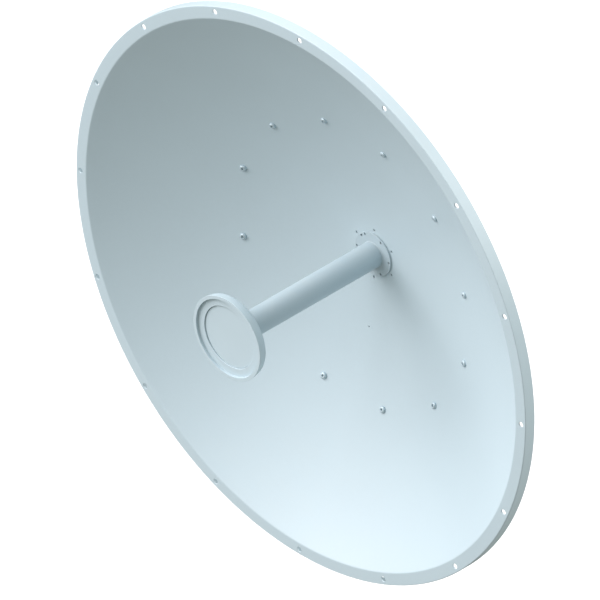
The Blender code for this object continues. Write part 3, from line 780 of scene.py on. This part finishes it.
def make_hub_plate():
    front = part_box("hub_plate")[0].y
    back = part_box("hub_plate")[1].y
    outline = rounded([(HUB_BORE_RADIUS, front, FINE_EDGE), (HUB_PLATE_RADIUS, front, FINE_EDGE),
                       (HUB_PLATE_RADIUS, back, ROUND_EDGE), (HUB_BORE_RADIUS, back, FINE_EDGE)])
    plate = piece("fine_hub_plate", lathe(outline, TUBE_SEGMENTS), "frame_paint", ["hub_plate"])
    screw_hole = hole(SCREW_HOLE_RADIUS, 4 * RING_SHEET, 0)
    punch(plate, [(screw_hole, place) for place in flange_screw_places(front) + outer_screw_places(front)])
    keep_flats_flat(plate)


HOUSING_RADIUS = 31 * MM
HOUSING_FLANGE_THICK = 6 * MM
HOUSING_ROOT = 2.5 * MM                 # fillet where its side meets its flange
HOUSING_BORE_RADIUS = 20 * MM
HOUSING_FLOOR = 6 * MM                  # thickness
CONNECTOR_ANGLES = (math.radians(-135), math.radians(-45))
BOSS_RADIUS = 11.5 * MM
BOSS_DEPTH = 6 * MM                     # how far a boss reaches into the housing's round side
BOSS_SEGMENTS = 64


def outward(radius, angle, y):
    """Stands a piece on a round body, with its own Y axis pointing away from the dish axis."""
    turn = Matrix.Rotation(-angle, 4, "Y") @ Matrix.Rotation(-math.pi / 2, 4, "Z")
    return Matrix.Translation(around(radius, angle, y)) @ turn


def make_housing():
    """The end of the feed behind the dish, with its two connectors."""
    flange_back = HOUSING_FRONT_Y + HOUSING_FLANGE_THICK
    floor = HOUSING_BACK_Y - HOUSING_FLOOR
    outline = rounded([
        (0, floor, 0), (HOUSING_BORE_RADIUS, floor, 0), (HOUSING_BORE_RADIUS, HOUSING_FRONT_Y, FINE_EDGE),
        (HOUSING_FLANGE_RADIUS, HOUSING_FRONT_Y, FINE_EDGE), (HOUSING_FLANGE_RADIUS, flange_back, MM),
        (HOUSING_RADIUS, flange_back, HOUSING_ROOT), (HOUSING_RADIUS, HOUSING_BACK_Y, PLATE_EDGE),
        (0, HOUSING_BACK_Y, 0),
    ])
    housing = piece("fine_waveguide_housing", lathe(outline, TUBE_SEGMENTS), "feed_metal",
                    ["waveguide_housing"])
    screw_hole = hole(SCREW_HOLE_RADIUS, 4 * HOUSING_FLANGE_THICK, 0)
    punch(housing, [(screw_hole, place) for place in flange_screw_places(HOUSING_FRONT_Y)])
    keep_flats_flat(housing)
    middle = (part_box("connector_1")[0].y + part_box("connector_1")[1].y) / 2
    boss = rounded([(0, -BOSS_DEPTH, 0), (BOSS_RADIUS, -BOSS_DEPTH, 0), (BOSS_RADIUS, 0, MM), (0, 0, 0)])
    for index, angle in enumerate(CONNECTOR_ANGLES, 1):
        place = outward(HOUSING_RADIUS, angle, middle)
        made = piece(f"connector_boss_{index}", lathe(boss, BOSS_SEGMENTS), "feed_metal", place=place)
        keep_flats_flat(made)
        make_connector(index, place)


CAP_EDGE = 1.2 * MM
CAP_BAND = (9 * MM, 10 * MM)            # from its edge to where its raised band ends and its recess starts
CAP_RECESS = 0.6 * MM
CAP_SCREWS = 4
CAP_SCREW_CIRCLE = 26 * MM
CAP_SCREW_HEAD = (3.4 * MM, 2.4 * MM)   # radius, height
CAP_SOCKET = (2.5 * MM, 1.2 * MM)       # across its flats, depth
CAP_SCREW_SHANK = 1.9 * MM
CAP_SCREW_LENGTH = 5 * MM


def make_cap():
    front, back = (corner.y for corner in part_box("housing_cap"))
    floor = back - CAP_RECESS
    band_end, recess_start = (CAP_RADIUS - inset for inset in CAP_BAND)
    outline = rounded([(0, front, 0), (CAP_RADIUS, front, FINE_EDGE), (CAP_RADIUS, back, CAP_EDGE),
                       (band_end, back, 0), (recess_start, floor, 0), (0, floor, 0)])
    cap = piece("fine_housing_cap", lathe(outline, TUBE_SEGMENTS), "feed_metal", ["housing_cap"])
    keep_flats_flat(cap)
    screw = small_screw(CAP_SCREW_HEAD, CAP_SOCKET, CAP_SCREW_SHANK, CAP_SCREW_LENGTH)
    places = circle_places(CAP_SCREW_CIRCLE, even_angles(CAP_SCREWS, math.pi / 4), back)
    for name, place in zip(numbered("cap_screw", CAP_SCREWS), turned_round(places)):
        keep_flats_flat(piece(name, lathe(screw, FASTENER_SEGMENTS), "fastener", place=place))


CONNECTOR_LENGTH = 22 * MM
CONNECTOR_BASE = 4 * MM                 # thickness of its hexagon
CONNECTOR_ACROSS = 18.5 * MM
CONNECTOR_NECK = 7 * MM                 # radius behind the thread
CONNECTOR_THREAD = 7.9 * MM             # radius
CONNECTOR_PITCH = 1.1 * MM
DUST_CAP_RADIUS = 9.5 * MM
DUST_CAP_LENGTH = 12 * MM
DUST_CAP_EDGE = (MM, 0.6 * MM)          # chamfer at its open end, inwards and along
DUST_CAP_TIP = [(0.6 * MM, 2.4 * MM), (0.6 * MM, MM), (1.6 * MM, 0)]    # smooth end: in, back from the tip
KNURLS = 36
KNURL_DEPTH = 0.45 * MM
KNURL_END = 3 * MM                      # back from the tip


def make_connector(index, place):
    """A threaded socket on a hexagon base, with a knurled dust cap screwed on."""
    cap_start = CONNECTOR_LENGTH - DUST_CAP_LENGTH
    edge_in, edge_along = DUST_CAP_EDGE

    def knurl(y):
        return lambda angle: (DUST_CAP_RADIUS - KNURL_DEPTH * abs(math.sin(KNURLS * angle / 2)), y)

    outline = [(0, 0), *hex_prism(CONNECTOR_ACROSS, 0, CONNECTOR_BASE, CONNECTOR_NECK)[1:]]
    outline += thread(CONNECTOR_THREAD, CONNECTOR_BASE, cap_start, CONNECTOR_PITCH)[:-1]
    outline += [(DUST_CAP_RADIUS - edge_in, cap_start), knurl(cap_start + edge_along),
                knurl(CONNECTOR_LENGTH - KNURL_END)]
    outline += [(DUST_CAP_RADIUS - inwards, CONNECTOR_LENGTH - back) for inwards, back in DUST_CAP_TIP]
    outline += [(0, CONNECTOR_LENGTH)]
    made = piece(f"fine_connector_{index}", lathe(outline, 4 * KNURLS), "connector",
                 [f"connector_{index}"], place)
    keep_flats_flat(made)


def make_beams():
    for side in ("left", "right"):
        node = f"mount_beam_{side}"
        low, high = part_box(node)
        middle = (low.x + high.x) / 2
        half = (high.x - low.x) / 2
        inside = half - BEAM_SHEET
        floor = low.y + BEAM_SHEET
        bend = BEAM_SHEET + BEAM_BEND
        outline = rounded([
            (-half, low.y, bend), (half, low.y, bend), (half, high.y, SOFT_EDGE), (inside, high.y, SOFT_EDGE),
            (inside, floor, BEAM_BEND), (-inside, floor, BEAM_BEND), (-inside, high.y, SOFT_EDGE),
            (-half, high.y, SOFT_EDGE),
        ])
        beam = piece(f"fine_{node}", bar(outline, high.z - low.z, FINE_EDGE), "frame_paint", [node],
                     Matrix.Translation((middle, 0, 0)))
        bolt_hole = hole(BEAM_BOLT_HOLE, 3 * BEAM_SHEET, 0)
        punch(beam, [(bolt_hole, Matrix.Translation((0, low.y, z)))
                     for z in (-BEAM_BOLT_HEIGHT, BEAM_BOLT_HEIGHT)])
        keep_flats_flat(beam)


BEAM_BOLT_HEAD = (13 * MM, 5.3 * MM)    # across its flats, height
BEAM_BOLT_SHANK = 4 * MM                # radius
BEAM_NUT_HEIGHT = 6.5 * MM
WASHER_FACE = 0.4 * MM                  # thin round face under the head


def make_beam_bolts():
    """Hexagon bolts from behind. They are drawn head first, so they are turned round."""
    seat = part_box("mount_beam_left")[0].y + BEAM_SHEET
    across, head = BEAM_BOLT_HEAD
    grip = seat - RING_BACK_Y + RING_SHEET
    nut_end = grip + BEAM_NUT_HEIGHT
    face = HEX_FACE * across
    outline = [(0, -head), (face, -head), hex_ring(across, -head, face), hex_ring(across, -WASHER_FACE),
               (face, -WASHER_FACE), (face, 0), (BEAM_BOLT_SHANK, 0)]
    outline += hex_prism(across, grip, nut_end, BEAM_BOLT_SHANK)
    outline += thread(BEAM_BOLT_SHANK, nut_end, nut_end + TAIL, PITCH)
    places = turned_round(beam_bolt_places(seat))
    copies(numbered("beam_bolt", len(places)), outline, "fastener", places)


PLATE_CORNER = 12 * MM
PLATE_ARC_STEP = math.radians(7.5)
CLAMP_HOLES = [(x, z) for x in (-38 * MM, 38 * MM) for z in (-60 * MM, 60 * MM)]
CLAMP_HOLE_RADIUS = 5.5 * MM
WELD_LEG = 3.2 * MM
WELD_RIPPLE = 1.6 * MM                  # length of two ripples
WELD_RIPPLE_STEPS = 6                   # over that length
WELD_SWELL = 0.10                       # height of a ripple, as a share of the leg
WELD_ARC_STEPS = 5
WELD_FACE = (0.82, 1.3)                 # how much of the leg it covers, and a power that hollows it
WELD_ENDS = (0.35, 8)                   # its size at its ends, and how fast it grows to its full size


def make_mount_plate():
    low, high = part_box("mount_plate")
    outline = rounded([(low.x, low.z, PLATE_CORNER), (high.x, low.z, PLATE_CORNER),
                       (high.x, high.z, PLATE_CORNER), (low.x, high.z, PLATE_CORNER)], PLATE_ARC_STEP)
    thick = high.y - low.y
    place = Matrix.Translation((0, (low.y + high.y) / 2, 0)) @ Matrix.Rotation(math.pi / 2, 4, "X")
    plate = piece("fine_mount_plate", bar(outline, thick, PLATE_EDGE), "frame_paint", ["mount_plate"], place)
    upright = Matrix.Rotation(-math.pi / 2, 4, "X")
    punch(plate, [(hole(CLAMP_HOLE_RADIUS, 3 * thick, 0), upright @ Matrix.Translation((x, 0, z)))
                  for x, z in CLAMP_HOLES])
    keep_flats_flat(plate)


def weld_bead(start, end, first_leg, second_leg):
    """A fillet weld from start to end, whose section spans two directions, with the ripples of its passes."""
    bm = bmesh.new()
    along = end - start
    count = round(along.length / WELD_RIPPLE * WELD_RIPPLE_STEPS)
    turns = [math.pi / 2 * step / WELD_ARC_STEPS for step in range(WELD_ARC_STEPS + 1)]
    out, curve = WELD_FACE
    end_size, growth = WELD_ENDS
    rings = []
    for step in range(count + 1):
        share = step / count
        swell = 1 + WELD_SWELL * math.sin(2 * math.pi * share * along.length / WELD_RIPPLE) ** 2
        taper = min(1.0, growth * min(share, 1 - share) + end_size)
        reach = WELD_LEG * swell * taper
        spot = start + along * share
        arc = [spot + first_leg * reach * (out * math.cos(turn) ** curve)
               + second_leg * reach * (out * math.sin(turn) ** curve) for turn in turns]
        rings.append([bm.verts.new(point) for point in [spot, *arc]])
    for here, there in zip(rings, rings[1:]):
        for step in range(len(here)):
            bm.faces.new((here[step - 1], here[step], there[step], there[step - 1]))
    bm.faces.new(rings[0])
    bm.faces.new(rings[-1])
    bmesh.ops.recalc_face_normals(bm, faces=bm.faces)
    return bm


def make_welds():
    """The plate is welded along both sides of both channels."""
    plate_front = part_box("mount_plate")[0].y
    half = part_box("mount_plate")[1].z - PLATE_CORNER
    for side, sign in (("left", -1), ("right", 1)):
        low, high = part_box(f"mount_beam_{side}")
        for place, x, direction in (("outer", high.x if sign > 0 else low.x, sign),
                                    ("inner", low.x if sign > 0 else high.x, -sign)):
            bead = weld_bead(Vector((x, plate_front, -half)), Vector((x, plate_front, half)),
                             Vector((direction, 0, 0)), Vector((0, -1, 0)))
            piece(f"weld_{side}_{place}", bead, "frame_paint")


# Studio


def look_from(camera, target, back, distance):
    camera.location = target + back * distance
    camera.rotation_mode = "QUATERNION"
    camera.rotation_quaternion = (-back).to_track_quat("-Z", "Y")


def make_camera():
    """A very long lens from the photograph's side, aimed so that the rim's centre falls on its pixel."""
    back = Vector((math.sin(AZIMUTH) * math.cos(ELEVATION), -math.cos(AZIMUTH) * math.cos(ELEVATION),
                   math.sin(ELEVATION)))
    right = Vector((math.cos(AZIMUTH), math.sin(AZIMUTH), 0))
    up = back.cross(right)
    off_x, off_y = (pixel - PHOTO_SIZE / 2 for pixel in PHOTO_RIM_CENTRE)
    target = Vector((0, RIM_Y, 0)) + (up * off_y - right * off_x) * PHOTO_SCALE
    data = bpy.data.cameras.new("photo_camera")
    data.sensor_width = SENSOR
    data.lens = SENSOR / 2 / math.tan(HALF_ANGLE)
    data.clip_start, data.clip_end = CLIP
    camera = linked("photo_camera", data, STRAIGHT)
    look_from(camera, target, back, PHOTO_SIZE / 2 * PHOTO_SCALE / math.tan(HALF_ANGLE))
    bpy.context.scene.camera = camera


def make_floor():
    """A white floor far below. It sends no light back up, which would fill the shade under the rim."""
    mesh = bpy.data.meshes.new("studio_floor")
    corners = [(x * FLOOR_HALF, y * FLOOR_HALF, FLOOR_Z) for x, y in ((-1, -1), (1, -1), (1, 1), (-1, 1))]
    mesh.from_pydata(corners, [], [(0, 1, 2, 3)])
    mesh.materials.append(floor_material())
    floor = linked("studio_floor", mesh, STRAIGHT)
    floor.visible_diffuse = False
    floor.visible_glossy = False


# Soft suns: name, azimuth and elevation of where the light comes from, spread, all in degrees, then strength
# and colour. Azimuth 0 is straight in front of the dish, and 90 is on its +X side.
LIGHTS = [
    ("key", -50, 27, 40, 0.88, (1.0, 0.905, 0.885)),
    ("top", -50, 46, 60, 1.92, (1.0, 0.97, 0.99)),
    ("wide", -50, 40, 100, 1.49, (0.99, 0.97, 1.0)),
    ("rim", 133, 35, 45, 2.05, (1.0, 0.98, 0.98)),
]
AMBIENT = (0.38, 0.388, 0.358)          # light from all round


def make_lights():
    for name, azimuth, elevation, spread, strength, colour in LIGHTS:
        data = bpy.data.lights.new(name, "SUN")
        data.angle = math.radians(spread)
        data.energy = strength
        data.color = colour
        light = linked(name, data, STRAIGHT)
        light.rotation_euler = (math.radians(90 - elevation), 0, math.radians(azimuth))


def make_world():
    """White where the camera sees it, and a softer grey as light."""
    world = bpy.data.worlds.new("studio")
    world.use_nodes = True
    tree = world.node_tree
    tree.nodes.clear()
    seen = add(tree, "Background", {"Color": (1, 1, 1, 1), "Strength": 1.0}).outputs[0]
    light = add(tree, "Background", {"Color": (*AMBIENT, 1), "Strength": 1.0}).outputs[0]
    is_seen = add(tree, "LightPath").outputs["Is Camera Ray"]
    mix = add(tree, "MixShader", {0: is_seen, 1: light, 2: seen}).outputs[0]
    output = add(tree, "OutputWorld")
    tree.links.new(mix, output.inputs["Surface"])
    bpy.context.scene.world = world


make_camera()
make_reflector()
make_ring_bolts()
make_hub_screws()
make_feed_tube()
make_feed_head()
make_back_ring()
make_hub_plate()
make_housing()
make_cap()
make_beams()
make_beam_bolts()
make_mount_plate()
make_welds()
make_floor()
make_lights()
make_world()
bpy.context.scene.view_settings.view_transform = "Standard"

bpy.context.view_layer.update()
